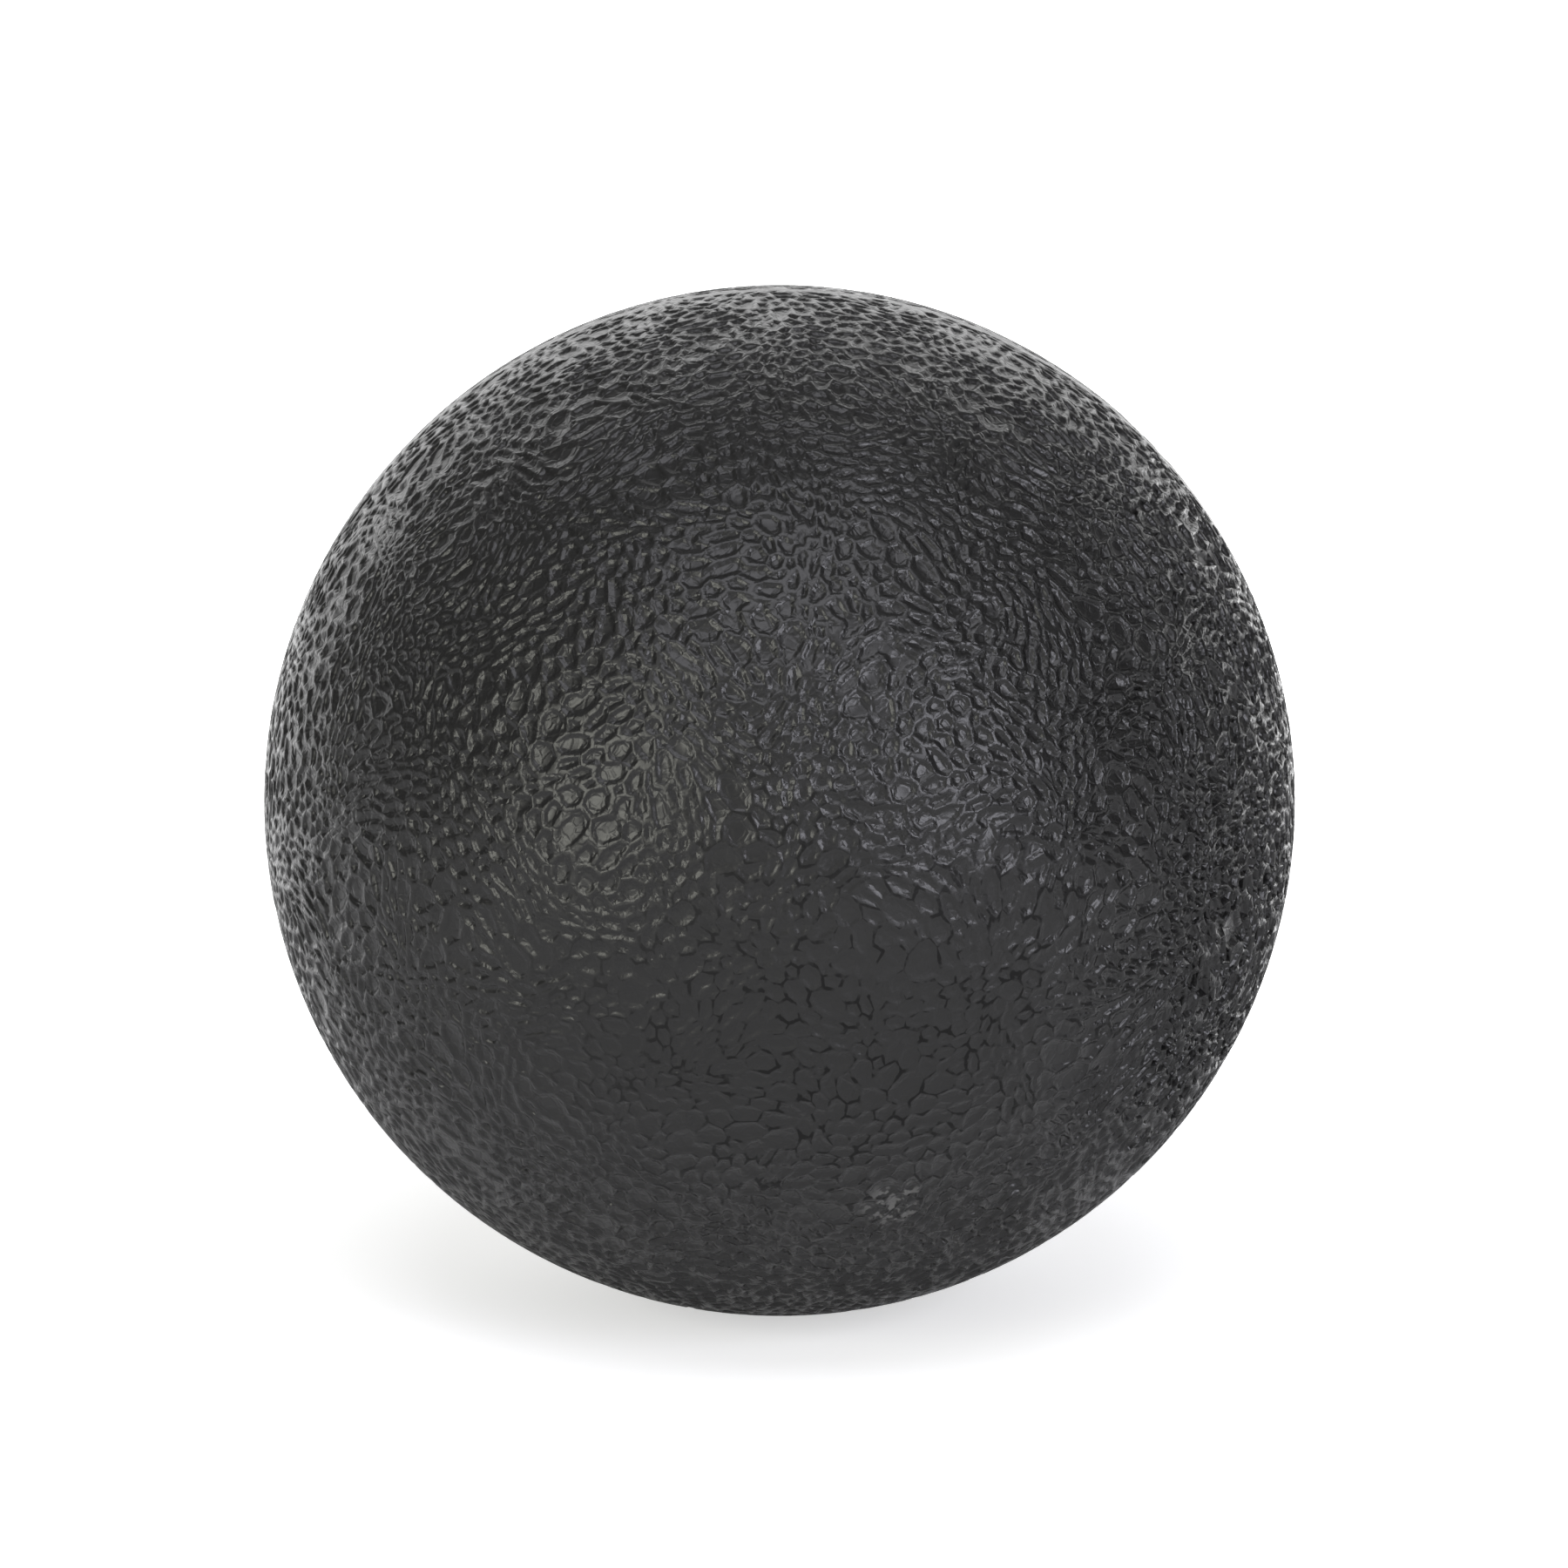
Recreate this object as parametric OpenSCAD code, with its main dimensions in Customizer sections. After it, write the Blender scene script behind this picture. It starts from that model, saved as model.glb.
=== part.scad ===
// Lacrosse ball: a solid rubber ball with a grained rubber cover moulded in two halves.
// The origin is the centre of the ball and +Z is up.
// The mould closed along Y, so the parting line is the ball's outline seen from the front.
// The cover's halves and the bead between them are turned about Y from a flat section:
// x there is the distance from the mould axis, and y runs along that axis, from the
// front half (minus) to the rear half (plus).

/* [Ball] */
// Diameter over the tops of the grain
ball_d = 63.5; // [55:0.1:75]
// Thickness of the grained cover's wall
cover_t = 6.5; // [5:0.1:10]
// Thickness of the cement coat between the core and the cover
cement_t = 0.25; // [0.1:0.05:0.6]

/* [Cover joint] */
// Thickness of the rear half's tongue, across the cover's wall
tongue_t = 1.6; // [0.8:0.1:2.4]
// How far the tongue stands out from the rear half's joint face
tongue_l = 2.4; // [1:0.1:4]
// Bevel on the two corners of the tongue's tip
tongue_bevel = 0.3; // [0.1:0.05:0.35]
// Clearance all round the tongue in its groove, for cement
tongue_gap = 0.05; // [0.02:0.01:0.1]

/* [Parting line] */
// Width of the trimmed bead of rubber along the parting line, at the surface
bead_w = 0.7; // [0.3:0.05:1.2]
// How deep the bead's root lies below the surface
bead_depth = 0.6; // [0.3:0.05:1]

/* [Hidden] */

$fn = 180;

// How far a cut runs past the surface that it opens
overrun = 1;

ball_r = ball_d / 2;
cover_inner_r = ball_r - cover_t;

// The core is what the cover and the cement coat leave of the ball.
core_r = cover_inner_r - cement_t;

// The tongue stands in the middle of the cover's wall.
tongue_mid_r = ball_r - cover_t / 2;

// Half the width that the bead's flared section has at the height where the cut ends
bead_cut_half_w = bead_w / 2 * (bead_depth + overrun) / bead_depth;

// Turns a flat section about the mould axis.
module turned()
    rotate([-90, 0, 0])
        rotate_extrude()
            children();

// The half of the section plane in front of the joint face (side = -1) or behind it (side = 1)
module half_plane(side) {
    reach = ball_r + overrun;
    translate([0, side < 0 ? -reach : 0])
        square(reach);
}

// The cover's wall on one side of the joint face, before its joint is cut
module wall_section(side) {
    intersection() {
        difference() {
            circle(r = ball_r);
            circle(r = cover_inner_r);
        }
        half_plane(side);
    }
}

// The tongue, or with a gap the groove that takes it. Its root runs past the joint face.
module tongue_section(gap = 0) {
    half_t = tongue_t / 2 + gap;
    tip_y = -tongue_l - gap;
    translate([tongue_mid_r, 0])
        polygon([
            [-half_t, overrun],
            [-half_t, tip_y + tongue_bevel],
            [-half_t + tongue_bevel, tip_y],
            [half_t - tongue_bevel, tip_y],
            [half_t, tip_y + tongue_bevel],
            [half_t, overrun]
        ]);
}

// The V at the surface where the two halves meet, which the bead fills
module bead_v() {
    polygon([
        [ball_r - bead_depth, 0],
        [ball_r + overrun, -bead_cut_half_w],
        [ball_r + overrun, bead_cut_half_w]
    ]);
}

module core() {
    color("#3b3a38")
        sphere(r = core_r);
}

module cement_coat() {
    color("#8a6a3c")
        difference() {
            sphere(r = cover_inner_r);
            sphere(r = core_r);
        }
}

module cover_front() {
    color("#2f2f30")
        turned()
            difference() {
                wall_section(-1);
                tongue_section(tongue_gap);
                bead_v();
            }
}

module cover_rear() {
    color("#343435")
        turned()
            difference() {
                union() {
                    wall_section(1);
                    tongue_section();
                }
                bead_v();
            }
}

// Trimmed flush with the cover, so its outer face is a band of the ball's own surface
module parting_bead() {
    color("#3a3a3b")
        turned()
            intersection() {
                bead_v();
                circle(r = ball_r);
            }
}

core();
cement_coat();
cover_front();
cover_rear();
parting_bead();
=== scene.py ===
import math
import bpy
import bmesh
import numpy as np
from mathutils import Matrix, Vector


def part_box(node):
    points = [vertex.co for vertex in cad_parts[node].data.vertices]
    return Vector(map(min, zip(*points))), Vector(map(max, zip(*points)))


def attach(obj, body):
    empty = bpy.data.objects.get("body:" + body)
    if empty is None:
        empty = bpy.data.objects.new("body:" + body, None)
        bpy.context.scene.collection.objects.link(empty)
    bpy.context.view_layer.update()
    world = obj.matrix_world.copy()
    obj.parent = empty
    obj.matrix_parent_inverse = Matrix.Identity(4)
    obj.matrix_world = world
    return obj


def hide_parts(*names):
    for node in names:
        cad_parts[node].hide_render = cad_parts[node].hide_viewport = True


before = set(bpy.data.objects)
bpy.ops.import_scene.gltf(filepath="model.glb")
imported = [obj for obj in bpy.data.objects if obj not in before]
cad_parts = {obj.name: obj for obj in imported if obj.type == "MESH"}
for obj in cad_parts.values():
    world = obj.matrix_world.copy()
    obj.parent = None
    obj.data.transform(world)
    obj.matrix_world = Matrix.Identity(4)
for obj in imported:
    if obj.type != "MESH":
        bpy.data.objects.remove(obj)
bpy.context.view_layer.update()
mm = 0.001

# the ball's own sizes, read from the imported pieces
ballRadius = -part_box("cover_front")[0].y
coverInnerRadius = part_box("cement_coat")[1].x
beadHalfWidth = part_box("parting_bead")[1].y
print("ball radius mm", round(ballRadius / mm, 3), "inner", round(coverInnerRadius / mm, 3),
      "bead half width", round(beadHalfWidth / mm, 3))


def addNode(tree, kind, inputs=None, **settings):
    node = tree.nodes.new(kind)
    for name, value in settings.items():
        setattr(node, name, value)
    for name, value in (inputs or {}).items():
        feed(tree, node.inputs[name], value)
    return node


def feed(tree, socket, value):
    if isinstance(value, bpy.types.NodeSocket):
        tree.links.new(value, socket)
    else:
        socket.default_value = value


def mathNode(tree, operation, *values):
    node = tree.nodes.new("ShaderNodeMath")
    node.operation = operation
    for i, value in enumerate(values):
        feed(tree, node.inputs[i], value)
    return node.outputs[0]


def vectorNode(tree, operation, *values, scale=None):
    node = tree.nodes.new("ShaderNodeVectorMath")
    node.operation = operation
    for i, value in enumerate(values):
        feed(tree, node.inputs[i], value)
    if scale is not None:
        feed(tree, node.inputs["Scale"], scale)
    return node.outputs["Value" if operation in ("LENGTH", "DOT_PRODUCT") else "Vector"]


def ramp(tree, value, span, low=0.0, high=1.0):
    # goes smoothly from low to high while the value goes through the span
    return addNode(tree, "ShaderNodeMapRange", {
        "Value": value, "From Min": span[0], "From Max": span[1], "To Min": low, "To Max": high},
        interpolation_type="SMOOTHSTEP").outputs[0]


def noiseNode(tree, place, length, detail):
    # the length is that of one wave of the noise
    scale = 1 / length if isinstance(length, float) else mathNode(tree, "DIVIDE", 1.0, length)
    return addNode(tree, "ShaderNodeTexNoise", {"Vector": place, "Scale": scale, "Detail": detail}).outputs


def groupNode(tree, group, **inputs):
    return addNode(tree, "ShaderNodeGroup", inputs, node_tree=group).outputs


def cosines(edge, core):
    # two half angles of a place on the ball, in degrees, as the cosines that its masks run through
    return math.cos(math.radians(edge)), math.cos(math.radians(core))


# camera
camera = {
    "distance": 0.45,        # from the ball's centre, m
    "elevation": 12.0,       # degrees above the floor
    "outlinePx": 592.0,      # the ball's outline radius in the 1800 px frame
    "centrePx": (894.9, 918.6),
    "framePx": 1800.0,
    "sensor": 36.0,          # mm
    "nearest": 0.01,         # what lies nearer isn't drawn, m
    "farthest": 50.0,        # nor what lies farther, m
}


def makeCamera():
    data = bpy.data.cameras.new("camera")
    data.sensor_width = camera["sensor"]
    data.sensor_fit = "HORIZONTAL"
    halfAngle = math.asin(ballRadius / camera["distance"])
    focalPx = camera["outlinePx"] / math.tan(halfAngle)
    data.lens = focalPx * camera["sensor"] / camera["framePx"]
    data.clip_start = camera["nearest"]
    data.clip_end = camera["farthest"]
    cam = bpy.data.objects.new("camera", data)
    bpy.context.scene.collection.objects.link(cam)
    tilt = math.radians(camera["elevation"])
    back = Vector((0, -math.cos(tilt), math.sin(tilt)))
    up = Vector((0, math.sin(tilt), math.cos(tilt)))
    right = Vector((1, 0, 0))
    # the ball sits a little off the frame's middle, so the aim does too
    offX = (camera["framePx"] / 2 - camera["centrePx"][0]) / focalPx * camera["distance"]
    offY = (camera["centrePx"][1] - camera["framePx"] / 2) / focalPx * camera["distance"]
    aim = right * offX + up * offY
    cam.location = back * camera["distance"]
    cam.rotation_euler = (aim - cam.location).to_track_quat("-Z", "Y").to_euler()
    bpy.context.scene.camera = cam
    return back, up, right


viewBack, viewUp, viewRight = makeCamera()

# the moulded grain: a net of rounded ridges round sunk cells
grain = {
    "spacing": 0.80,       # least distance between two cells' seeds, mm
    "kept": 0.86,          # share of the seeds that are kept, which makes the cells uneven in size
    "seed": 3,
    "ballSteps": 6,        # how finely the ball that holds the seeds is divided
    "densest": 1e7,        # seeds tried on a square metre, more than the spacing leaves
    "joined": 0.09,        # share of the ridges that are left out, so that cells run together
    "shortRidge": 0.22,    # ridges shorter than this close up, mm
    "flow": 1.3,           # how far each turn shears the whole pattern, mm
    "flowLength": 7.0,     # wavelength of that shear, mm
    "turns": 10,           # how many shears follow each other
    "turnOffset": 0.1,     # how far apart in the noise two shears lie, m
    "bend": 0.4,           # how far each of three turns bends the ridges sideways, mm
    "bendLength": 2.2,     # wavelength of that bending, mm
    "bendOffsets": (0.3, 0.5, 0.8),  # where in the noise the three turns lie, m
    "ridgeSteps": 2,       # how often each ridge's middle line is halved, so that it bends
    "ridge": 0.26,         # distance from a ridge's middle line to the ring of points on its flank, mm
    "bowl": 0.50,          # distance from a ridge's middle line to the bottom of a cell, mm
    "corner": 0.08,        # how far the ridges widen where they meet, mm
    "breadth": 0.50,       # how much broader or narrower a ridge gets along its way, mm
    "breadthLength": 1.3,  # wavelength of that change, mm
    "depth": 0.25,         # height of the ridges over the cells' floors, mm
    "lean": 0.08,          # steepest slope of a cell's floor
    "uneven": 0.30,        # share of the depth by which a cell may be shallower than the others
    "flat": 0.45,          # how far the normals follow the ball and not the relief
    "fade": 0.6,           # width of the plain band on each side of the parting bead, mm
    "ringShare": 0.5,      # size of a cell's first ring, before it is drawn to the ridges' flanks
    "reachShare": 0.65,    # farthest that a ring's point travels from its ridge towards the middle
    "nearest": 0.02,       # least distance from a ridge that such a point is taken to have, mm
    "foldedFacing": 0.5,   # a triangle that faces outwards less than this counts as folded over
    "drawTurns": 3,        # how often a ring is drawn to the ridges' flanks
    "unfoldingTurns": 5,
    "blurSteps": 6,
    "steepFacing": 0.84,   # a normal that faces outwards less than this leans back
    "leanBack": 3.0,
    "ragged": 0.2,         # how far the places' edges wander
    # places where wear or the mould left the relief shallower or deeper: direction, share of the
    # full depth, half angle of the place's core and of its edge in degrees
    "patches": (
        ((-0.15, -0.93, 0.35), 0.75, 12, 60),
        ((-0.38, -0.92, -0.08), 0.80, 4, 36),
        ((0.02, -0.95, -0.30), 0.60, 10, 38),
        ((0.42, -0.89, -0.16), 0.62, 5, 28),
        ((0.90, -0.40, 0.25), 1.62, 15, 52),
        ((0.80, -0.35, -0.49), 1.40, 6, 42),
        ((0.00, -0.45, -0.89), 1.45, 6, 42),
    ),
}
# the lengths among these values, which the tree takes in metres
lengths = ("spacing", "shortRidge", "flow", "flowLength", "bend", "bendLength", "ridge", "bowl",
           "corner", "breadth", "breadthLength", "depth", "fade", "nearest")
# and the values that the tree is built with, so they are no inputs of it
notInputs = ("seed", "ballSteps", "turns", "turnOffset", "bendOffsets", "ridgeSteps", "drawTurns",
             "unfoldingTurns", "blurSteps", "patches")
joinDistance = 1e-7  # m
# a mark of 0 or 1 that is averaged over neighbours counts as set above these
setSomewhere = 0.01
setNearby = 0.2
setAllRound = 0.9


def grainTree():
    tree = bpy.data.node_groups.new("mouldedGrain", "GeometryNodeTree")
    values = {name: value for name, value in grain.items() if name not in notInputs}
    values.update({name: grain[name] * mm for name in lengths})
    values["radius"] = ballRadius
    values["bead"] = beadHalfWidth
    for name, value in values.items():
        tree.interface.new_socket(name, in_out="INPUT", socket_type="NodeSocketFloat").default_value = value
    tree.interface.new_socket("material", in_out="INPUT", socket_type="NodeSocketMaterial")
    tree.interface.new_socket("Geometry", in_out="OUTPUT", socket_type="NodeSocketGeometry")
    given = tree.nodes.new("NodeGroupInput").outputs
    result = tree.nodes.new("NodeGroupOutput")
    position = tree.nodes.new("GeometryNodeInputPosition").outputs[0]
    outward = vectorNode(tree, "NORMALIZE", position)

    def moved(geometry, place):
        return addNode(tree, "GeometryNodeSetPosition", {"Geometry": geometry, "Position": place}).outputs[0]

    def onBall(geometry, place=position):
        return moved(geometry, vectorNode(tree, "SCALE", vectorNode(tree, "NORMALIZE", place),
                                          scale=given["radius"]))

    def sheared(geometry, amount, length, offset):
        # a shift across the skin that turns with place, so cells stretch and lean but keep their area
        place = vectorNode(tree, "ADD", position, (offset, offset, -offset))
        shift = vectorNode(tree, "SUBTRACT", noiseNode(tree, place, length, 0.0)["Color"], (0.5, 0.5, 0.5))
        shift = vectorNode(tree, "SCALE", vectorNode(tree, "CROSS_PRODUCT", outward, shift), scale=amount)
        return onBall(geometry, vectorNode(tree, "ADD", position, shift))

    def bent(geometry):
        for offset in grain["bendOffsets"]:
            geometry = sheared(geometry, given["bend"], given["bendLength"], offset)
        return geometry

    def stored(geometry, name, value, dataType, domain, **inputs):
        return addNode(tree, "GeometryNodeStoreNamedAttribute", {
            "Geometry": geometry, "Name": name, "Value": value, **inputs},
            data_type=dataType, domain=domain).outputs[0]

    def named(name, dataType="FLOAT"):
        return addNode(tree, "GeometryNodeInputNamedAttribute", {"Name": name}, data_type=dataType).outputs[0]

    def facingOut():
        normal = tree.nodes.new("GeometryNodeInputNormal").outputs[0]
        return vectorNode(tree, "DOT_PRODUCT", normal, outward)

    # seeds all over the ball, and one cell round each
    ball = addNode(tree, "GeometryNodeMeshIcoSphere", {
        "Radius": given["radius"], "Subdivisions": grain["ballSteps"]})
    seeds = addNode(tree, "GeometryNodeDistributePointsOnFaces", {
        "Mesh": ball.outputs["Mesh"], "Distance Min": given["spacing"], "Density Max": given["densest"],
        "Density Factor": given["kept"], "Seed": grain["seed"]}, distribute_method="POISSON")
    hull = addNode(tree, "GeometryNodeConvexHull", {"Geometry": onBall(seeds.outputs["Points"])})
    cells = onBall(addNode(tree, "GeometryNodeDualMesh", {"Mesh": hull.outputs[0]}).outputs[0])
    cells = addNode(tree, "GeometryNodeMergeByDistance", {
        "Geometry": cells, "Distance": given["shortRidge"]}).outputs[0]
    for turn in range(grain["turns"]):
        cells = sheared(cells, given["flow"], given["flowLength"], grain["turnOffset"] * turn)
    cells = stored(cells, "joined", addNode(tree, "FunctionNodeRandomValue", {
        "Probability": given["joined"], "Seed": grain["seed"]}, data_type="BOOLEAN").outputs[3],
        "BOOLEAN", "EDGE")
    cells = stored(cells, "cellMiddle", position, "FLOAT_VECTOR", "FACE")
    cells = stored(cells, "cellTone", addNode(tree, "FunctionNodeRandomValue", {
        "Seed": grain["seed"] + 1}, data_type="FLOAT").outputs[1], "FLOAT", "FACE")
    tilt = addNode(tree, "FunctionNodeRandomValue", {
        "Min": (-1, -1, -1), "Max": (1, 1, 1), "Seed": grain["seed"] + 2}, data_type="FLOAT_VECTOR")
    cells = stored(cells, "tilt", tilt.outputs[0], "FLOAT_VECTOR", "FACE")
    cells = stored(cells, "ring", 0.0, "FLOAT", "POINT")
    cells = stored(cells, "onRidge", True, "BOOLEAN", "EDGE")

    # the ridges' middle lines alone, and the points where they meet
    corners = addNode(tree, "GeometryNodeDeleteGeometry", {"Geometry": cells},
                      domain="FACE", mode="ONLY_FACE").outputs[0]
    ridges = addNode(tree, "GeometryNodeDeleteGeometry", {
        "Geometry": corners, "Selection": named("joined", "BOOLEAN")},
        domain="EDGE", mode="EDGE_FACE").outputs[0]
    corners = bent(corners)
    ridges = addNode(tree, "GeometryNodeSubdivideMesh", {
        "Mesh": ridges, "Level": grain["ridgeSteps"]}).outputs[0]
    ridges = bent(onBall(ridges))

    # each cell gets a ring on the ridges' flanks, and a middle
    skin = addNode(tree, "GeometryNodeSubdivideMesh", {"Mesh": cells, "Level": 1}).outputs[0]
    skin = addNode(tree, "GeometryNodeSplitEdges", {
        "Mesh": skin, "Selection": named("onRidge", "BOOLEAN")}).outputs[0]
    raised = addNode(tree, "GeometryNodeExtrudeMesh", {
        "Mesh": skin, "Offset Scale": 0.0, "Individual": False}, mode="FACES")
    skin = addNode(tree, "GeometryNodeScaleElements", {
        "Geometry": raised.outputs["Mesh"], "Selection": raised.outputs["Top"],
        "Scale": given["ringShare"]}).outputs[0]
    skin = stored(skin, "ring", 1.0, "FLOAT", "POINT", Selection=raised.outputs["Top"])
    skin = stored(skin, "onFloor", raised.outputs["Top"], "FLOAT", "FACE")
    skin = addNode(tree, "GeometryNodeMergeByDistance", {
        "Geometry": skin, "Distance": joinDistance}).outputs[0]
    skin = onBall(skin)
    middle = vectorNode(tree, "SCALE", vectorNode(tree, "NORMALIZE", named("cellMiddle", "FLOAT_VECTOR")),
                        scale=given["radius"])
    fromMiddle = vectorNode(tree, "SUBTRACT", position, middle)
    gone = mathNode(tree, "MULTIPLY", named("ring"), 1 - grain["ringShare"])
    skin = stored(skin, "reach", mathNode(tree, "DIVIDE", vectorNode(tree, "LENGTH", fromMiddle),
                                          mathNode(tree, "SUBTRACT", 1.0, gone)), "FLOAT", "POINT")
    skin = bent(skin)
    isMiddle = mathNode(tree, "GREATER_THAN", named("onFloor"), setAllRound)
    isRing = mathNode(tree, "MULTIPLY", mathNode(tree, "GREATER_THAN", named("ring"), setNearby),
                      mathNode(tree, "SUBTRACT", 1.0, isMiddle))
    toRidge = addNode(tree, "GeometryNodeProximity", {0: ridges}, target_element="EDGES").outputs["Distance"]
    toCorner = addNode(tree, "GeometryNodeProximity", {0: corners}, target_element="POINTS")
    toCorner = mathNode(tree, "SUBTRACT", toCorner.outputs["Distance"], given["corner"])
    near = mathNode(tree, "MAXIMUM", mathNode(tree, "MINIMUM", toRidge, toCorner), 0.0)
    farthest = mathNode(tree, "MULTIPLY", named("reach"), given["reachShare"])
    for turn in range(grain["drawTurns"]):
        now = vectorNode(tree, "LENGTH", fromMiddle)
        travelled = mathNode(tree, "SUBTRACT", named("reach"), now)
        travel = mathNode(tree, "DIVIDE", mathNode(tree, "MULTIPLY", travelled, given["ridge"]),
                          mathNode(tree, "MAXIMUM", near, given["nearest"]))
        travel = mathNode(tree, "MINIMUM", travel, farthest)
        size = mathNode(tree, "DIVIDE", mathNode(tree, "SUBTRACT", named("reach"), travel), now)
        place = vectorNode(tree, "ADD", middle, vectorNode(tree, "SCALE", fromMiddle, scale=size))
        skin = addNode(tree, "GeometryNodeSetPosition", {
            "Geometry": skin, "Selection": isRing, "Position": place}).outputs[0]
    # points whose triangles have folded over are drawn back between their neighbours
    skin = addNode(tree, "GeometryNodeTriangulate", {"Mesh": skin}).outputs[0]
    for turn in range(grain["unfoldingTurns"]):
        folded = addNode(tree, "GeometryNodeFieldOnDomain", {
            0: mathNode(tree, "LESS_THAN", facingOut(), given["foldedFacing"])},
            data_type="FLOAT", domain="FACE").outputs[0]
        skin = stored(skin, "folded", folded, "FLOAT", "POINT")
        isFolded = mathNode(tree, "GREATER_THAN", named("folded"), setSomewhere)
        place = addNode(tree, "GeometryNodeBlurAttribute", {
            "Value": position, "Iterations": grain["blurSteps"], "Weight": isFolded},
            data_type="FLOAT_VECTOR").outputs[0]
        skin = moved(skin, place)
    skin = onBall(skin)

    # the plain band along the parting bead counts as ridge top
    height = addNode(tree, "ShaderNodeSeparateXYZ", {0: position}).outputs["Y"]
    fromBead = mathNode(tree, "SUBTRACT", mathNode(tree, "ABSOLUTE", height), given["bead"])
    grown = ramp(tree, fromBead, (0.0, given["fade"]))
    swell = mathNode(tree, "SUBTRACT", noiseNode(tree, position, given["breadthLength"], 1.0)["Fac"], 0.5)
    swell = mathNode(tree, "MULTIPLY", swell, given["breadth"])
    near = mathNode(tree, "MAXIMUM", mathNode(tree, "ADD", near, swell), 0.0)
    skin = stored(skin, "ridgeDistance", mathNode(tree, "MULTIPLY", near, grown), "FLOAT", "POINT")
    sunk = ramp(tree, named("ridgeDistance"), (0.0, given["bowl"]))
    relief = 1.0
    wander = mathNode(tree, "SUBTRACT", noiseNode(tree, position, given["flowLength"], 2.0)["Fac"], 0.5)
    for direction, share, core, edge in grain["patches"]:
        facing = vectorNode(tree, "DOT_PRODUCT", outward, tuple(Vector(direction).normalized()))
        facing = mathNode(tree, "MULTIPLY_ADD", wander, given["ragged"], facing)
        relief = mathNode(tree, "MULTIPLY", relief, ramp(tree, facing, cosines(edge, core), 1.0, share))
    skin = stored(skin, "relief", relief, "FLOAT", "POINT")
    # every cell's floor leans its own way
    steepness = mathNode(tree, "MULTIPLY", given["lean"], mathNode(tree, "MULTIPLY", sunk, relief))
    slope = vectorNode(tree, "SCALE", vectorNode(
        tree, "CROSS_PRODUCT", outward, named("tilt", "FLOAT_VECTOR")), scale=steepness)
    skin = stored(skin, "slope", slope, "FLOAT_VECTOR", "POINT")
    depth = mathNode(tree, "SUBTRACT", 1.0, mathNode(tree, "MULTIPLY", given["uneven"], named("cellTone")))
    depth = mathNode(tree, "MULTIPLY", given["depth"], depth)
    sink = mathNode(tree, "MULTIPLY", mathNode(tree, "MULTIPLY", depth, sunk), named("relief"))
    leaned = vectorNode(tree, "DOT_PRODUCT", named("slope", "FLOAT_VECTOR"), fromMiddle)
    sink = mathNode(tree, "MAXIMUM", mathNode(tree, "ADD", sink, leaned), 0.0)
    skin = moved(skin, vectorNode(tree, "SUBTRACT", position, vectorNode(tree, "SCALE", outward, scale=sink)))
    # floors and ridge tops stay near the ball's own normal, so the flanks turn the light
    plain = vectorNode(tree, "ADD", outward, named("slope", "FLOAT_VECTOR"))
    turned = addNode(tree, "ShaderNodeMix", {
        0: given["flat"], 4: tree.nodes.new("GeometryNodeInputNormal").outputs[0],
        5: vectorNode(tree, "NORMALIZE", plain)}, data_type="VECTOR").outputs[1]
    turned = vectorNode(tree, "NORMALIZE", turned)
    # on the few slivers that stand too steep, the normals lean back outwards
    steep = mathNode(tree, "SUBTRACT", given["steepFacing"], vectorNode(tree, "DOT_PRODUCT", turned, outward))
    steep = mathNode(tree, "MULTIPLY", mathNode(tree, "MAXIMUM", steep, 0.0), given["leanBack"])
    turned = vectorNode(tree, "ADD", turned, vectorNode(tree, "SCALE", outward, scale=steep))
    skin = stored(skin, "skinNormal", vectorNode(tree, "NORMALIZE", turned), "FLOAT_VECTOR", "POINT")
    for name in ("joined", "onRidge", "cellMiddle", "cellTone", "ring", "onFloor", "reach", "tilt", "slope",
                 "folded"):
        skin = addNode(tree, "GeometryNodeRemoveAttribute", {"Geometry": skin, "Name": name}).outputs[0]
    skin = addNode(tree, "GeometryNodeRealizeInstances", {"Geometry": skin}).outputs[0]
    skin = addNode(tree, "GeometryNodeSetMaterial", {
        "Geometry": skin, "Material": given["material"]}).outputs[0]
    tree.links.new(skin, result.inputs[0])
    return tree


# cover rubber
rubber = {
    "color": (0.0088, 0.0086, 0.0084, 1),
    "roughness": 0.32,
    "roughnessSpread": 0.08,
    "specular": 0.37,
    "bumpDepth": 0.14,     # mm
    "crest": 0.05,         # half width of the level strip along a ridge's top, mm
    "foot": 0.41,          # distance from a ridge's middle line to the foot of its flank, mm
    "ragged": 0.07,        # how far the ridges' edges wander, mm
    "raggedLength": 0.6,   # mm
    "wrinkleSize": 0.75,   # mm
    "wrinkleDepth": 0.02,  # mm
    "blotSize": 6.0,       # patches where the skin shines a little more or less, mm
}

# painted shade: low on the ball, short dark strokes along the ridges stand in for the shade in the relief, as
# a share of Metallic that takes the shine away
paintedShade = {
    "halfWidth": 0.10,     # mm
    "strokeSize": 0.9,     # mm
    "strokes": (0.44, 0.58),  # tones of the marks between which a stroke starts and is full
    "strokesBegin": (0.7, 1.2),   # shares of the plain band's width, from the bead, where the strokes begin
    "strength": 0.68,      # how much of the shine a stroke takes away
    # where the strokes lie: direction, half angles of the place's core and edge in degrees
    "places": (((0.35, -0.88, -0.33), 8, 60), ((0.62, -0.45, -0.64), 10, 44), ((0.05, -0.50, -0.86), 12, 50)),
}

# a small rubbed place low on the front
scuff = {
    "direction": (0.215, -0.766, -0.606),
    "core": 1.5,           # half angles of the place's core and edge, degrees
    "edge": 4.6,
    "size": 0.6,           # mm
    "flecks": (0.52, 0.60),  # tones of the marks between which a fleck starts and is full
    "color": (0.085, 0.084, 0.081, 1),
    "roughness": 0.45,
}


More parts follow.
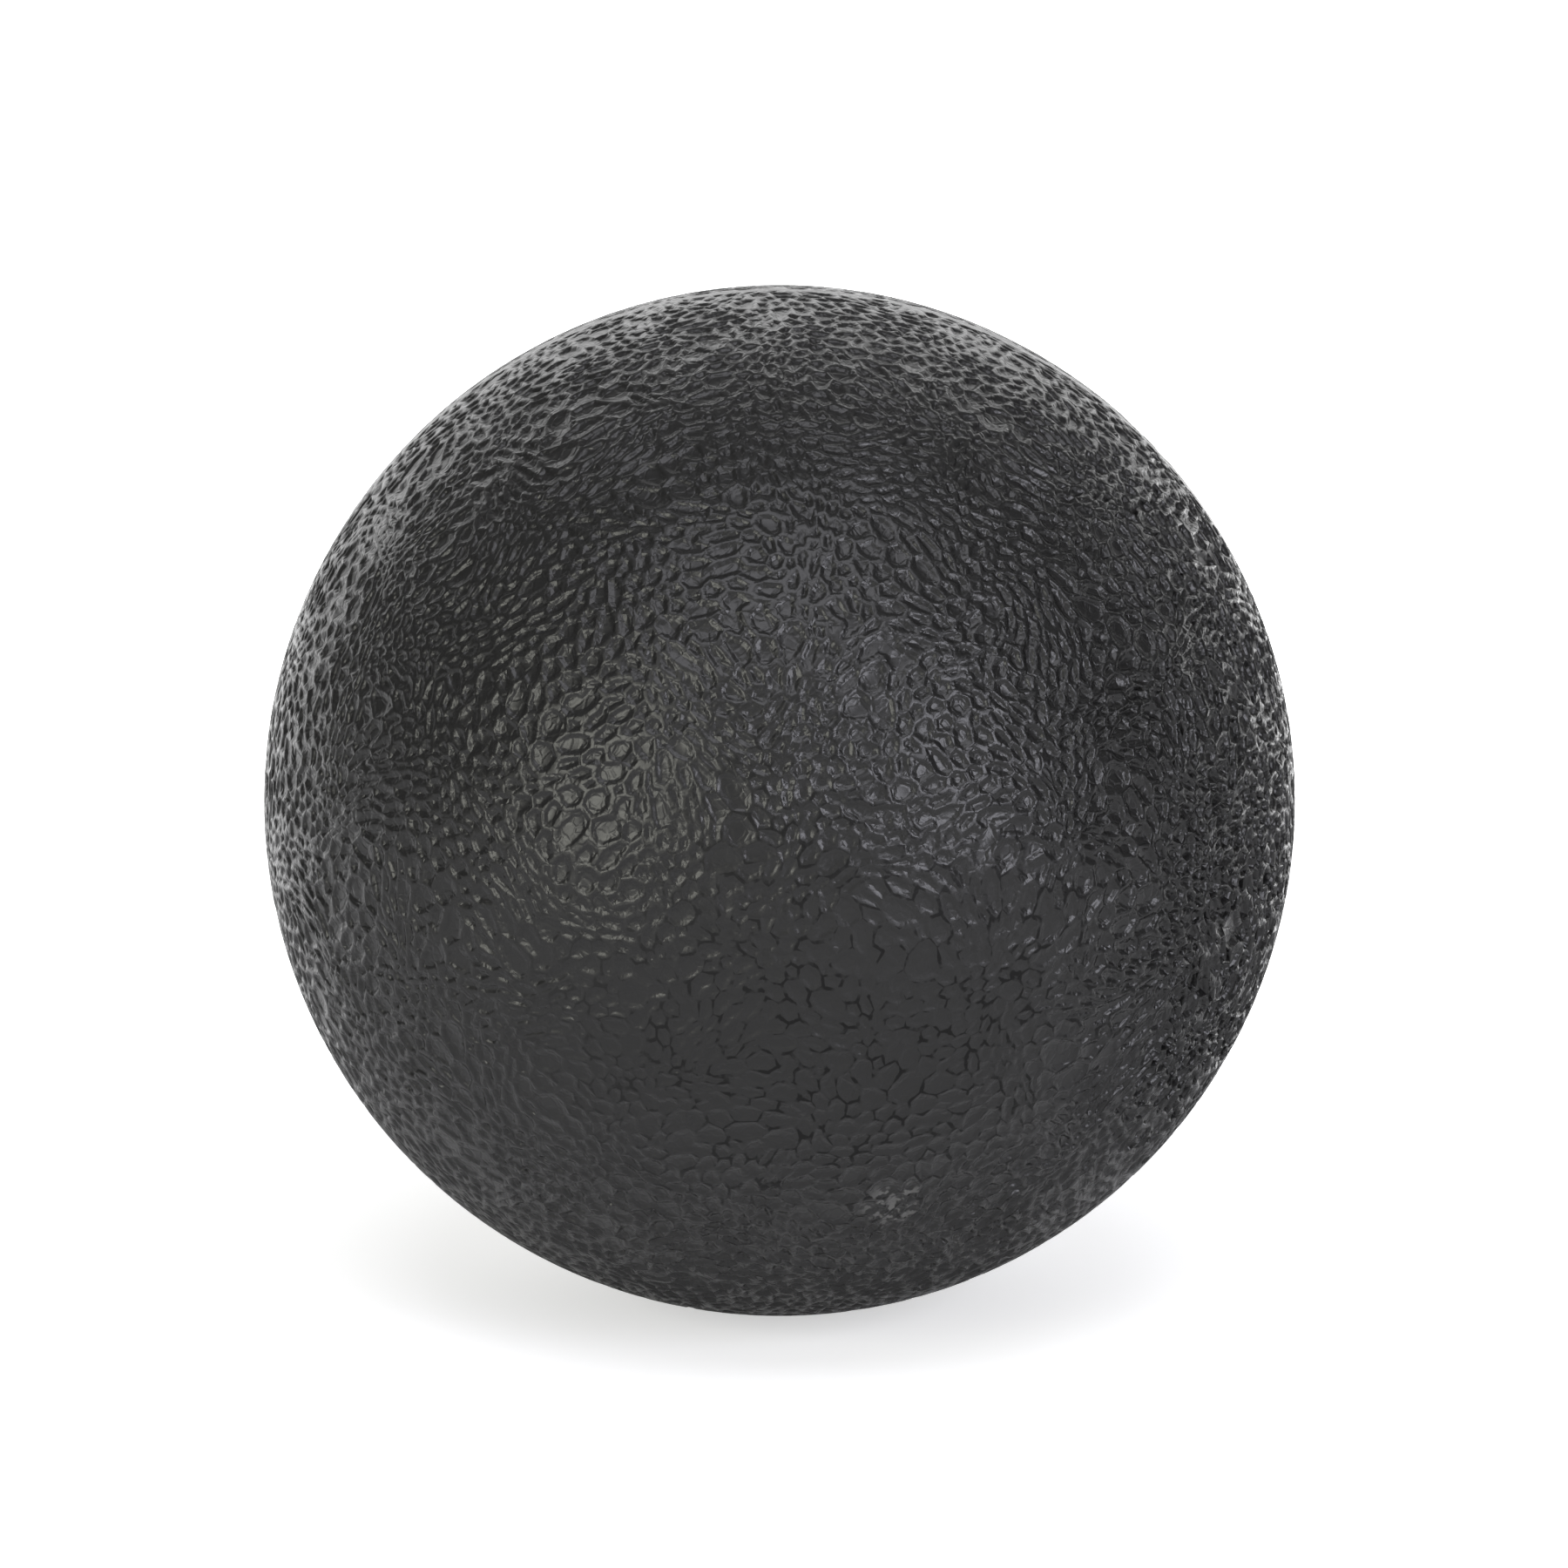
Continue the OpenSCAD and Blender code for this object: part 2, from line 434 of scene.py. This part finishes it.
def addSockets(tree, inputs, outputs):
    for name, value in inputs:
        tree.interface.new_socket(name, in_out="INPUT", socket_type="NodeSocketFloat").default_value = value
    for name in outputs:
        tree.interface.new_socket(name, in_out="OUTPUT", socket_type="NodeSocketFloat")
    return tree.nodes.new("NodeGroupInput").outputs, tree.nodes.new("NodeGroupOutput").inputs


# fine folds of the moulded rubber
def wrinkleGroup():
    tree = bpy.data.node_groups.new("wrinkles", "ShaderNodeTree")
    given, result = addSockets(tree, (("Size", 0.001), ("Width", 0.2), ("Warp", 0.35)), ("Height",))
    place = tree.nodes.new("ShaderNodeTexCoord").outputs["Object"]
    scaled = vectorNode(tree, "SCALE", place, scale=mathNode(tree, "DIVIDE", 1.0, given["Size"]))
    shift = vectorNode(tree, "SUBTRACT", noiseNode(tree, scaled, 1.0, 1.0)["Color"], (0.5, 0.5, 0.5))
    shift = vectorNode(tree, "SCALE", shift, scale=mathNode(tree, "MULTIPLY", given["Warp"], 2.0))
    warped = vectorNode(tree, "ADD", scaled, shift)
    edge = addNode(tree, "ShaderNodeTexVoronoi", {"Vector": warped, "Scale": 1.0},
                   feature="DISTANCE_TO_EDGE").outputs["Distance"]
    tree.links.new(ramp(tree, edge, (0.0, given["Width"])), result["Height"])
    return tree


# blots, or with a small stretch streaks round the mould axis: a tone, and a mask of its lightest parts
def marksGroup():
    tree = bpy.data.node_groups.new("marks", "ShaderNodeTree")
    given, result = addSockets(tree, (("Size", 0.001), ("Stretch", 1.0), ("Start", 0.5), ("End", 0.6)),
                               ("Tone", "Mask"))
    place = tree.nodes.new("ShaderNodeTexCoord").outputs["Object"]
    drawn = addNode(tree, "ShaderNodeCombineXYZ", {
        "X": given["Stretch"], "Y": 1.0, "Z": given["Stretch"]}).outputs[0]
    scaled = vectorNode(tree, "SCALE", vectorNode(tree, "MULTIPLY", place, drawn),
                        scale=mathNode(tree, "DIVIDE", 1.0, given["Size"]))
    tone = noiseNode(tree, scaled, 1.0, 2.0)["Fac"]
    tree.links.new(tone, result["Tone"])
    tree.links.new(ramp(tree, tone, (given["Start"], given["End"])), result["Mask"])
    return tree


wrinkles = wrinkleGroup()
marks = marksGroup()


def mixColor(tree, factor, first, second):
    mix = addNode(tree, "ShaderNodeMix", {0: factor, 6: first, 7: second}, data_type="RGBA")
    return mix.outputs[2]


def newMaterial(name):
    material = bpy.data.materials.new(name)
    material.use_nodes = True
    material.node_tree.nodes.clear()
    return material, material.node_tree


def endMaterial(tree, height, depth, inputs):
    bump = addNode(tree, "ShaderNodeBump", {"Strength": 1.0, "Distance": depth * mm, "Height": height})
    shader = addNode(tree, "ShaderNodeBsdfPrincipled", {"Normal": bump.outputs[0], **inputs})
    output = tree.nodes.new("ShaderNodeOutputMaterial")
    tree.links.new(shader.outputs[0], output.inputs[0])


# a mask of one place on the ball: 1 in its core and 0 beyond its edge
def placeMask(tree, outward, direction, core, edge):
    facing = vectorNode(tree, "DOT_PRODUCT", outward, tuple(Vector(direction).normalized()))
    return ramp(tree, facing, cosines(edge, core))


# painted shade: a mask of the dark strokes along the ridges low on the ball
def paintedShadeMask(tree, outward, near):
    # the plain band along the parting bead gets no painted shade
    height = addNode(tree, "ShaderNodeSeparateXYZ", {0: outward}).outputs["Y"]
    strokesBegin = [(beadHalfWidth + share * grain["fade"] * mm) / ballRadius for share in paintedShade["strokesBegin"]]
    grained = ramp(tree, mathNode(tree, "ABSOLUTE", height), strokesBegin)
    placed = 0.0
    for direction, core, edge in paintedShade["places"]:
        placed = mathNode(tree, "MAXIMUM", placed, placeMask(tree, outward, direction, core, edge))
    halfWidth = paintedShade["halfWidth"] * mm
    stroke = ramp(tree, near, (halfWidth, halfWidth / 2))
    start, end = paintedShade["strokes"]
    broken = groupNode(tree, marks, Size=paintedShade["strokeSize"] * mm, Start=start, End=end)["Mask"]
    strokes = mathNode(tree, "MULTIPLY", mathNode(tree, "MULTIPLY", stroke, broken), placed)
    return mathNode(tree, "MULTIPLY", strokes, grained)


def coverMaterial():
    material, tree = newMaterial("coverRubber")
    place = tree.nodes.new("ShaderNodeTexCoord").outputs["Object"]
    near = addNode(tree, "ShaderNodeAttribute", attribute_name="ridgeDistance").outputs["Fac"]
    relief = addNode(tree, "ShaderNodeAttribute", attribute_name="relief").outputs["Fac"]
    wander = mathNode(tree, "SUBTRACT", noiseNode(tree, place, rubber["raggedLength"] * mm, 1.0)["Fac"], 0.5)
    near = mathNode(tree, "MULTIPLY_ADD", wander, 2 * rubber["ragged"] * mm, near)
    ridge = ramp(tree, near, (rubber["crest"] * mm, rubber["foot"] * mm), 1.0, 0.0)
    folds = groupNode(tree, wrinkles, Size=rubber["wrinkleSize"] * mm)["Height"]
    height = mathNode(tree, "MULTIPLY_ADD", folds, rubber["wrinkleDepth"] / rubber["bumpDepth"], ridge)
    height = mathNode(tree, "MULTIPLY", height, relief)
    # the rubbed place is lighter and duller, in small flecks
    outward = vectorNode(tree, "NORMALIZE", place)
    rubbed = placeMask(tree, outward, scuff["direction"], scuff["core"], scuff["edge"])
    start, end = scuff["flecks"]
    flecks = groupNode(tree, marks, Size=scuff["size"] * mm, Start=start, End=end)["Mask"]
    rubbed = mathNode(tree, "MULTIPLY", rubbed, flecks)
    blots = mathNode(tree, "SUBTRACT", groupNode(tree, marks, Size=rubber["blotSize"] * mm)["Tone"], 0.5)
    roughness = mathNode(tree, "MULTIPLY_ADD", blots, rubber["roughnessSpread"], rubber["roughness"])
    roughness = mathNode(tree, "MULTIPLY_ADD", rubbed, scuff["roughness"] - rubber["roughness"], roughness)
    # over so dark a color a share of Metallic only takes the shine away, and the export keeps it
    # painted shade: the dark strokes take the shine off the ridges low on the ball
    paintedShadeStrokes = mathNode(tree, "MULTIPLY", paintedShadeMask(tree, outward, near), paintedShade["strength"])
    endMaterial(tree, height, rubber["bumpDepth"], {
        "Metallic": mathNode(tree, "MULTIPLY", paintedShadeStrokes, mathNode(tree, "SUBTRACT", 1.0, rubbed)),
        "Base Color": mixColor(tree, rubbed, rubber["color"], scuff["color"]),
        "Roughness": roughness, "Specular IOR Level": rubber["specular"]})
    return material


# parting bead: the same rubber, trimmed flush, so it has fine cuts along it and no grain
bead = {
    "roughness": 0.38,
    "roughnessSpread": 0.3,
    "cutSize": 0.12,       # mm
    "cutStretch": 0.03,
    "cutDepth": 0.02,      # mm
}


def beadMaterial():
    material, tree = newMaterial("trimmedRubber")
    cuts = groupNode(tree, marks, Size=bead["cutSize"] * mm, Stretch=bead["cutStretch"])["Tone"]
    roughness = mathNode(tree, "MULTIPLY_ADD", mathNode(tree, "SUBTRACT", cuts, 0.5),
                         bead["roughnessSpread"], bead["roughness"])
    endMaterial(tree, cuts, bead["cutDepth"], {
        "Base Color": rubber["color"], "Roughness": roughness, "Specular IOR Level": rubber["specular"]})
    return material


# core: dense dark grey rubber with specks of crumb
core = {
    "color": (0.045, 0.043, 0.041, 1),
    "crumbColor": (0.10, 0.095, 0.088, 1),
    "crumbSize": 1.1,      # mm
    "crumbs": (0.62, 0.66),  # tones of the marks between which a crumb starts and is full
    "roughness": 0.72,
    "crumbRoughness": 0.12,  # how much rougher a crumb is
    "specular": 0.3,
    "pitSize": 0.8,        # mm
    "pitDepth": 0.05,      # mm
}


def coreMaterial():
    material, tree = newMaterial("coreRubber")
    start, end = core["crumbs"]
    crumb = groupNode(tree, marks, Size=core["crumbSize"] * mm, Start=start, End=end)["Mask"]
    folds = groupNode(tree, wrinkles, Size=core["pitSize"] * mm)["Height"]
    roughness = mathNode(tree, "MULTIPLY_ADD", crumb, core["crumbRoughness"], core["roughness"])
    endMaterial(tree, folds, core["pitDepth"], {
        "Base Color": mixColor(tree, crumb, core["color"], core["crumbColor"]),
        "Roughness": roughness, "Specular IOR Level": core["specular"]})
    return material


# cement coat: thin amber rubber cement with brush marks
cement = {
    "color": (0.25, 0.14, 0.045, 1),
    "thinColor": (0.33, 0.20, 0.075, 1),
    "thin": (0.4, 0.7),    # tones of the brush marks between which the coat gets thin
    "roughness": 0.34,
    "thinRoughness": 0.15,  # how much rougher it is there
    "specular": 0.45,
    "brushSize": 0.7,      # mm
    "brushStretch": 0.08,
    "brushDepth": 0.06,    # mm
}


def cementMaterial():
    material, tree = newMaterial("rubberCement")
    start, end = cement["thin"]
    brush = groupNode(tree, marks, Size=cement["brushSize"] * mm, Stretch=cement["brushStretch"],
                      Start=start, End=end)
    roughness = mathNode(tree, "MULTIPLY_ADD", brush["Mask"], cement["thinRoughness"], cement["roughness"])
    endMaterial(tree, brush["Tone"], cement["brushDepth"], {
        "Base Color": mixColor(tree, brush["Mask"], cement["color"], cement["thinColor"]),
        "Roughness": roughness, "Specular IOR Level": cement["specular"]})
    return material


coverRubber = coverMaterial()
cadMaterials = {"parting_bead": beadMaterial(), "core": coreMaterial(), "cement_coat": cementMaterial()}
for node, material in cadMaterials.items():
    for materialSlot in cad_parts[node].material_slots:
        materialSlot.material = material
print("materials done")


def makeSkin():
    tree = grainTree()
    source = bpy.data.objects.new("grainSource", bpy.data.meshes.new("grainSource"))
    bpy.context.scene.collection.objects.link(source)
    modifier = source.modifiers.new("grain", "NODES")
    modifier.node_group = tree
    for item in tree.interface.items_tree:
        if item.in_out == "INPUT" and item.socket_type == "NodeSocketMaterial":
            modifier[item.identifier] = coverRubber
        elif item.in_out == "INPUT":
            modifier[item.identifier] = item.default_value
    skin = bpy.data.meshes.new_from_object(source.evaluated_get(bpy.context.evaluated_depsgraph_get()))
    bpy.data.objects.remove(source)
    return skin


def closeGap(bm, rim, root):
    # a strip of triangles between two rings round the mould axis with unequal numbers of points
    def angles(ring):
        around = [math.atan2(v.co.z, v.co.x) for v in ring]
        return around + [around[0] + 2 * math.pi]

    rimAngles, rootAngles = angles(rim), angles(root)
    i = j = 0
    while i < len(rim) or j < len(root):
        here, below = rim[i % len(rim)], root[j % len(root)]
        if j == len(root) or (i < len(rim) and rimAngles[i + 1] <= rootAngles[j + 1]):
            i += 1
            bm.faces.new((here, rim[i % len(rim)], below))
        else:
            j += 1
            bm.faces.new((here, root[j % len(root)], below))


weldDistance = 0.002 * mm
skinDepth = 0.01 * mm   # points nearer to a round surface than this count as on it
cutDistance = 1e-8  # m


def setCoverNormals(mesh, skinFaces):
    # flat walls in the joint, a round inside, and the grain's own normals outside
    corners = np.empty(len(mesh.loops), np.int32)
    mesh.loops.foreach_get("vertex_index", corners)
    cornerCounts = np.empty(len(mesh.polygons), np.int32)
    mesh.polygons.foreach_get("loop_total", cornerCounts)
    faces = np.repeat(np.arange(len(mesh.polygons)), cornerCounts)
    flat = np.empty(len(mesh.polygons) * 3, np.float32)
    mesh.polygons.foreach_get("normal", flat)
    places = np.empty(len(mesh.vertices) * 3, np.float32)
    mesh.vertices.foreach_get("co", places)
    grained = np.empty(len(mesh.vertices) * 3, np.float32)
    mesh.attributes["skinNormal"].data.foreach_get("vector", grained)
    places, grained = places.reshape(-1, 3)[corners], grained.reshape(-1, 3)[corners]
    size = np.linalg.norm(places, axis=1, keepdims=True)
    normals = np.where(size < coverInnerRadius + skinDepth, -places / size, flat.reshape(-1, 3)[faces])
    normals = np.where((faces < skinFaces)[:, None], grained, normals)
    mesh.attributes.remove(mesh.attributes["skinNormal"])
    mesh.shade_smooth()
    mesh.normals_split_custom_set(normals.tolist())


def makeCoverHalf(name, node, side, skin):
    # the joint and the inside come from the CAD piece, and the grained skin takes its outside's place
    inside = bmesh.new()
    inside.from_mesh(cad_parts[node].data)
    bmesh.ops.remove_doubles(inside, verts=inside.verts[:], dist=weldDistance)
    outer = [f for f in inside.faces if any(v.co.length > ballRadius - skinDepth for v in f.verts)]
    bmesh.ops.delete(inside, geom=outer, context="FACES")
    insideMesh = bpy.data.meshes.new(name + "Inside")
    inside.to_mesh(insideMesh)
    inside.free()

    bm = bmesh.new()
    bm.from_mesh(skin)
    bmesh.ops.bisect_plane(
        bm, geom=bm.verts[:] + bm.edges[:] + bm.faces[:], dist=cutDistance,
        plane_co=(0, side * beadHalfWidth, 0), plane_no=(0, side, 0), clear_inner=True)
    skinFaces = len(bm.faces)
    bm.from_mesh(insideMesh)
    bpy.data.meshes.remove(insideMesh)
    edge = {v for e in bm.edges if e.is_boundary for v in e.verts}
    around = sorted(edge, key=lambda v: math.atan2(v.co.z, v.co.x))
    rim = [v for v in around if abs(v.co.y) > beadHalfWidth / 2]
    root = [v for v in around if abs(v.co.y) <= beadHalfWidth / 2]
    closeGap(bm, rim, root)
    bmesh.ops.recalc_face_normals(bm, faces=bm.faces[:])
    mesh = bpy.data.meshes.new(name)
    bm.to_mesh(mesh)
    bm.free()
    setCoverNormals(mesh, skinFaces)
    piece = bpy.data.objects.new(name, mesh)
    bpy.context.scene.collection.objects.link(piece)
    mesh.materials.clear()
    mesh.materials.append(coverRubber)
    mesh.polygons.foreach_set("material_index", np.zeros(len(mesh.polygons), np.int32))
    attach(piece, "root")
    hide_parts(node)
    mesh.calc_loop_triangles()
    print(name, "triangles", len(mesh.loop_triangles), "rim points", len(rim), "root points", len(root))


skin = makeSkin()
print("grained skin done, faces", len(skin.polygons))
makeCoverHalf("coverFront", "cover_front", -1, skin)
makeCoverHalf("coverRear", "cover_rear", 1, skin)
bpy.data.meshes.remove(skin)

# stage
stage = {
    "floorRadius": 6.0,      # m
    "floorSides": 64,
    "world": 0.45,           # the room's light, apart from what the ball mirrors and the camera sees
    "sideLevel": 0.21,       # the room's brightness beside the ball, as the ball mirrors it
    "rightLevel": 0.30,      # what is left of the room's brightness on the right
    "leftLevel": 0.55,       # and on the left
    "floorSeen": 0.52,       # the floor's glow as the camera sees it
    "floorMirrored": 1.05,   # and as the ball mirrors it, far behind the ball
    "floorFar": 2.1,         # how many times brighter the floor gets where it runs up into the backdrop
    "floorSide": 0.3,        # what is left of its glow far away at the sides
    "floorRight": 1.7,       # how many times brighter the floor gets on the right
    "floorFront": 0.0,       # what is left of the floor's glow before the ball
    "floorUnder": 0.15,      # glow close round the ball's foot, as a share
    "backLevel": 2.03,       # the backdrop's brightness, as the ball mirrors it
    "highLevel": 0.65,       # what is left of the backdrop's brightness high up
    "frontLevel": 0.56,      # the room's brightness before the ball
    "floorColor": (0.82, 0.82, 0.82, 1),
    "floorRoughness": 0.9,
    "floorSpecular": 0.1,
    # where the floor's glow changes, in ball radii: from the ball's foot, to the right and to the back
    "fadeSpan": (0.4, 2.5),
    "underSpan": (0.5, 1.5),
    "farSpan": (2.0, 9.0),
    "whiteSpan": (5.0, 10.0),
    "floorRightSpan": (1.0, 4.0),
    "floorFrontSpan": (2.0, 0.3),
    # where the room's brightness changes, as parts of a direction: to the back, up, front, right and left
    "backSpan": (0.46, 0.76),
    "highSpan": (0.3, 0.75),
    "frontSpan": (-0.3, -0.95),
    "rightSpan": (0.75, 0.98),
    "leftSpan": (-0.70, -0.92),
    "lamps": {
        # direction in camera terms: degrees to the right, degrees up; distance, width and height
        # in metres; watts; color
        "left": (-38.2, 5.7, 0.9, 0.34, 0.42, 3.55, (1.0, 1.0, 0.90)),
        "right": (38.0, 9.7, 0.9, 0.34, 0.42, 4.3, (0.97, 0.97, 1.07)),
        "back": (180.0, 45.0, 0.9, 0.9, 0.3, 0.8, (1.0, 1.0, 1.0)),
        "top": (1.0, 52.0, 0.9, 0.72, 0.5, 3.7, (0.98, 0.98, 1.05)),
    },
}


def makeLamp(name, side, rise, distance, width, height, power, color):
    turn, climb = math.radians(side), math.radians(rise)
    level = viewRight * math.sin(turn) + viewBack * math.cos(turn)
    direction = level * math.cos(climb) + viewUp * math.sin(climb)
    data = bpy.data.lights.new(name, "AREA")
    data.shape = "RECTANGLE"
    data.size, data.size_y = width, height
    data.energy = power
    data.color = color
    lamp = bpy.data.objects.new(name, data)
    bpy.context.scene.collection.objects.link(lamp)
    lamp.location = direction * distance
    lamp.rotation_euler = (-direction).to_track_quat("-Z", "Y").to_euler()


for name, values in stage["lamps"].items():
    makeLamp(name, *values)


def raysMirrored(tree, path):
    return mathNode(tree, "MAXIMUM", path.outputs["Is Glossy Ray"], path.outputs["Is Transmission Ray"])


def inRadii(name):
    return [share * ballRadius for share in stage[name]]


def makeFloor():
    bm = bmesh.new()
    bmesh.ops.create_circle(bm, cap_ends=True, segments=stage["floorSides"], radius=stage["floorRadius"])
    mesh = bpy.data.meshes.new("floor")
    bm.to_mesh(mesh)
    bm.free()
    for v in mesh.vertices:
        v.co.z = -ballRadius
    floor = bpy.data.objects.new("floor", mesh)
    bpy.context.scene.collection.objects.link(floor)
    material, tree = newMaterial("paleFloor")
    path = tree.nodes.new("ShaderNodeLightPath")
    seen = mathNode(tree, "MAXIMUM", path.outputs["Is Camera Ray"], raysMirrored(tree, path))
    # in reflections the glow fades under the ball, where its shadow lies
    place = tree.nodes.new("ShaderNodeTexCoord").outputs["Object"]
    parts = addNode(tree, "ShaderNodeSeparateXYZ", {0: place}).outputs
    fromFoot = vectorNode(tree, "LENGTH", vectorNode(tree, "SUBTRACT", place, (0, 0, -ballRadius)))
    fade = ramp(tree, fromFoot, inRadii("fadeSpan"))
    toRight = ramp(tree, parts["X"], inRadii("floorRightSpan"), 1.0, stage["floorRight"])
    toFront = ramp(tree, parts["Y"], inRadii("floorFrontSpan"), 1.0, stage["floorFront"])
    fade = mathNode(tree, "MULTIPLY", mathNode(tree, "MULTIPLY", fade, toRight), toFront)
    far = ramp(tree, fromFoot, inRadii("farSpan"))
    farGain = ramp(tree, mathNode(tree, "DIVIDE", parts["Y"], fromFoot), stage["backSpan"],
                   stage["floorSide"] - 1, stage["floorFar"] - 1)
    fade = mathNode(tree, "MULTIPLY", fade, mathNode(tree, "MULTIPLY_ADD", far, farGain, 1.0))
    under = ramp(tree, fromFoot, inRadii("underSpan"), stage["floorUnder"], 0.0)
    fade = mathNode(tree, "MULTIPLY", mathNode(tree, "ADD", fade, under), stage["floorMirrored"])
    # the camera sees the floor turn as white as the backdrop, away from the ball's shadow
    whiter = ramp(tree, fromFoot, inRadii("whiteSpan"), stage["floorSeen"], 1.0)
    whiter = mathNode(tree, "MULTIPLY", path.outputs["Is Camera Ray"], whiter)
    glow = mathNode(tree, "MULTIPLY", seen, mathNode(tree, "MAXIMUM", whiter, fade))
    shader = addNode(tree, "ShaderNodeBsdfPrincipled", {
        "Base Color": stage["floorColor"], "Roughness": stage["floorRoughness"],
        "Specular IOR Level": stage["floorSpecular"], "Emission Color": (1, 1, 1, 1),
        "Emission Strength": glow})
    output = tree.nodes.new("ShaderNodeOutputMaterial")
    tree.links.new(shader.outputs[0], output.inputs[0])
    mesh.materials.append(material)


makeFloor()


def makeWorld():
    world = bpy.data.worlds.new("studio")
    bpy.context.scene.world = world
    world.use_nodes = True
    tree = world.node_tree
    tree.nodes.clear()
    path = tree.nodes.new("ShaderNodeLightPath")
    mirrored = raysMirrored(tree, path)
    seen = mathNode(tree, "MAXIMUM", path.outputs["Is Camera Ray"], mirrored)
    # the white backdrop stands behind the ball, and the room beside and before it is darker
    direction = tree.nodes.new("ShaderNodeTexCoord").outputs["Generated"]
    parts = addNode(tree, "ShaderNodeSeparateXYZ", {0: direction}).outputs
    backdrop = ramp(tree, parts["Z"], stage["highSpan"], stage["backLevel"] - stage["sideLevel"],
                    stage["highLevel"] * stage["backLevel"] - stage["sideLevel"])
    toBack = mathNode(tree, "MULTIPLY_ADD", ramp(tree, parts["Y"], stage["backSpan"]), backdrop,
                      stage["sideLevel"])
    toFront = ramp(tree, parts["Y"], stage["frontSpan"], 0.0, stage["frontLevel"] - stage["sideLevel"])
    toRight = ramp(tree, parts["X"], stage["rightSpan"], 1.0, stage["rightLevel"])
    toLeft = ramp(tree, parts["X"], stage["leftSpan"], 1.0, stage["leftLevel"])
    room = mathNode(tree, "MULTIPLY", mathNode(tree, "ADD", toBack, toFront), toRight)
    room = mathNode(tree, "MULTIPLY", room, toLeft)
    plain = addNode(tree, "ShaderNodeMapRange", {"Value": seen, "To Min": stage["world"], "To Max": 1.0})
    plain = mathNode(tree, "MULTIPLY", mathNode(tree, "SUBTRACT", 1.0, mirrored), plain.outputs[0])
    strength = mathNode(tree, "ADD", mathNode(tree, "MULTIPLY", mirrored, room), plain)
    background = addNode(tree, "ShaderNodeBackground", {"Color": (1, 1, 1, 1), "Strength": strength})
    output = tree.nodes.new("ShaderNodeOutputWorld")
    tree.links.new(background.outputs[0], output.inputs[0])


makeWorld()
bpy.context.scene.view_settings.view_transform = "Standard"
